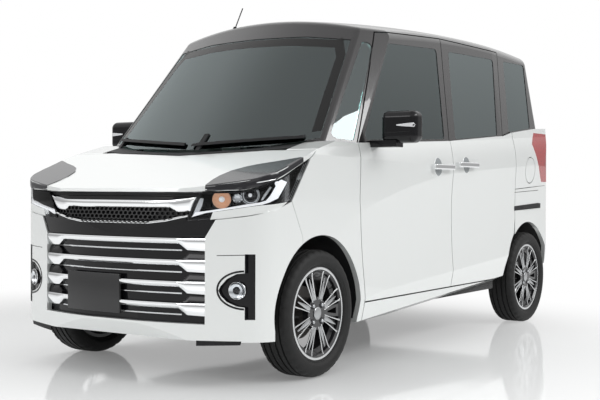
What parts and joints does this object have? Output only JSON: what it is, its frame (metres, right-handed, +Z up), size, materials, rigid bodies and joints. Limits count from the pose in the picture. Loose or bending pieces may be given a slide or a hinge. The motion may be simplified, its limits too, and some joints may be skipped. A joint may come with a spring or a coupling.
{
  "type": "kei car",
  "caption": "Tall one-box mini car with short bonnet, upright cabin, hinged front doors, rear side doors, tailgate and alloy wheels.",
  "frame": {"origin": "on the ground below the middle of the car's length and width", "axes": "+X to the car's left side, -Y forwards, +Z up"},
  "size_m": [1.92, 3.393, 1.8061],
  "materials": {
    "body_white": "gloss pearl white",
    "body_black": "gloss black",
    "black_plastic": "satin black",
    "gloss_black": "gloss black",
    "chrome": "polished",
    "screen_glass": "clear green tint",
    "privacy_glass": "dark tint",
    "lens": "clear",
    "red_lens": "red translucent",
    "alloy": "machined and black",
    "iron": "machined",
    "steel": "black paint",
    "engine_metal": "cast",
    "tyre": "matt",
    "seat_cloth": "woven",
    "cabin_plastic": "grained",
    "cabin_metal": "satin",
    "wheel_rim_grip": "smooth"
  },
  "bodies": {
    "body": {"cowl": "black_plastic", "dashboard": "cabin_plastic", "door_flanges": "body_black", "engine": "engine_metal", "floor_and_bulkhead": "cabin_metal", "fog_lamps": "gloss_black", "front_bumper": "body_white", "front_quarter_glass": "screen_glass", "front_seats": "seat_cloth", "front_suspension": "steel", "front_wings": "body_white", "grille": "gloss_black", "grille_chrome": "chrome", "headlamp_housings": "gloss_black", "headlamp_lenses": "lens", "quarter_panels": "body_white", "rear_axle": "steel", "rear_bumper": "body_white", "rear_lamps": "red_lens", "rear_seat": "seat_cloth", "rear_side_glass": "privacy_glass", "roof_and_pillars": "body_black", "side_sills": "body_white", "sliding_door_frames": "body_black", "sliding_door_handles": "chrome", "sliding_door_panels": "body_white", "tailgate_flange": "body_black", "wheel_liners": "black_plastic", "windscreen": "screen_glass", "wipers_and_antenna": "black_plastic"},
    "bonnet": {"bonnet": "body_white"},
    "front_door_left": {"door_handle_left": "chrome", "door_mirror_left": "gloss_black", "front_door_frame_left": "body_black", "front_door_glass_left": "screen_glass", "front_door_panel_left": "body_white"},
    "front_door_right": {"door_handle_right": "chrome", "door_mirror_right": "gloss_black", "front_door_frame_right": "body_black", "front_door_glass_right": "screen_glass", "front_door_panel_right": "body_white"},
    "tailgate": {"tailgate_frame": "body_black", "tailgate_glass": "privacy_glass", "tailgate_panel": "body_white"},
    "fuel_lid": {"fuel_lid": "body_white"},
    "steering_wheel": {"steering_wheel": "wheel_rim_grip"},
    "knuckle_left": {"knuckle_left": "iron"},
    "knuckle_right": {"knuckle_right": "iron"},
    "wheel_front_left": {"brake_disc_front_left": "iron", "rim_front_left": "alloy", "tyre_front_left": "tyre"},
    "wheel_front_right": {"brake_disc_front_right": "iron", "rim_front_right": "alloy", "tyre_front_right": "tyre"},
    "wheel_rear_left": {"brake_drum_rear_left": "iron", "rim_rear_left": "alloy", "tyre_rear_left": "tyre"},
    "wheel_rear_right": {"brake_drum_rear_right": "iron", "rim_rear_right": "alloy", "tyre_rear_right": "tyre"}
  },
  "joints": [
    {"name": "bonnet_hinge", "type": "hinge", "parent": "body", "child": "bonnet", "pos_m": [0, -1.1125, 1.046], "axis": [-1, 0, 0], "range_deg": [0, 55]},
    {"name": "left_door_hinge", "type": "hinge", "parent": "body", "child": "front_door_left", "pos_m": [0.7395, -0.8265, 0.8], "axis": [0, 0, -1], "range_deg": [0, 65]},
    {"name": "right_door_hinge", "type": "hinge", "parent": "body", "child": "front_door_right", "pos_m": [-0.7395, -0.8265, 0.8], "axis": [0, 0, 1], "range_deg": [0, 65]},
    {"name": "tailgate_hinge", "type": "hinge", "parent": "body", "child": "tailgate", "pos_m": [0, 1.4455, 1.765], "axis": [1, 0, 0], "range_deg": [0, 80]},
    {"name": "fuel_lid_hinge", "type": "hinge", "parent": "body", "child": "fuel_lid", "pos_m": [0.7325, 1.2205, 0.951], "axis": [0, 0, -1], "range_deg": [0, 90]},
    {"name": "steer_left", "type": "hinge", "parent": "body", "child": "knuckle_left", "pos_m": [0.588, -1.1425, 0.19], "axis": [-0.2419, 0, 0.9703], "range_deg": [-35, 35]},
    {"name": "steer_right", "type": "hinge", "parent": "body", "child": "knuckle_right", "pos_m": [-0.588, -1.1425, 0.19], "axis": [0.2419, 0, 0.9703], "range_deg": [-35, 35]},
    {"name": "steering_column", "type": "hinge", "parent": "body", "child": "steering_wheel", "pos_m": [-0.318, -0.5025, 0.985], "axis": [0, 0.8829, 0.4695], "range_deg": [-490, 490]},
    {"name": "spin_front_left", "type": "hinge", "parent": "knuckle_left", "child": "wheel_front_left", "pos_m": [0.65, -1.1425, 0.281], "axis": [1, 0, 0], "continuous": true},
    {"name": "spin_front_right", "type": "hinge", "parent": "knuckle_right", "child": "wheel_front_right", "pos_m": [-0.65, -1.1425, 0.281], "axis": [1, 0, 0], "continuous": true},
    {"name": "spin_rear_left", "type": "hinge", "parent": "body", "child": "wheel_rear_left", "pos_m": [0.645, 1.2875, 0.281], "axis": [1, 0, 0], "continuous": true},
    {"name": "spin_rear_right", "type": "hinge", "parent": "body", "child": "wheel_rear_right", "pos_m": [-0.645, 1.2875, 0.281], "axis": [1, 0, 0], "continuous": true}
  ],
  "couplings": [
    {"joint": "steer_right", "follows": "steer_left", "ratio": 1},
    {"joint": "steering_column", "follows": "steer_left", "ratio": -14}
  ]
}
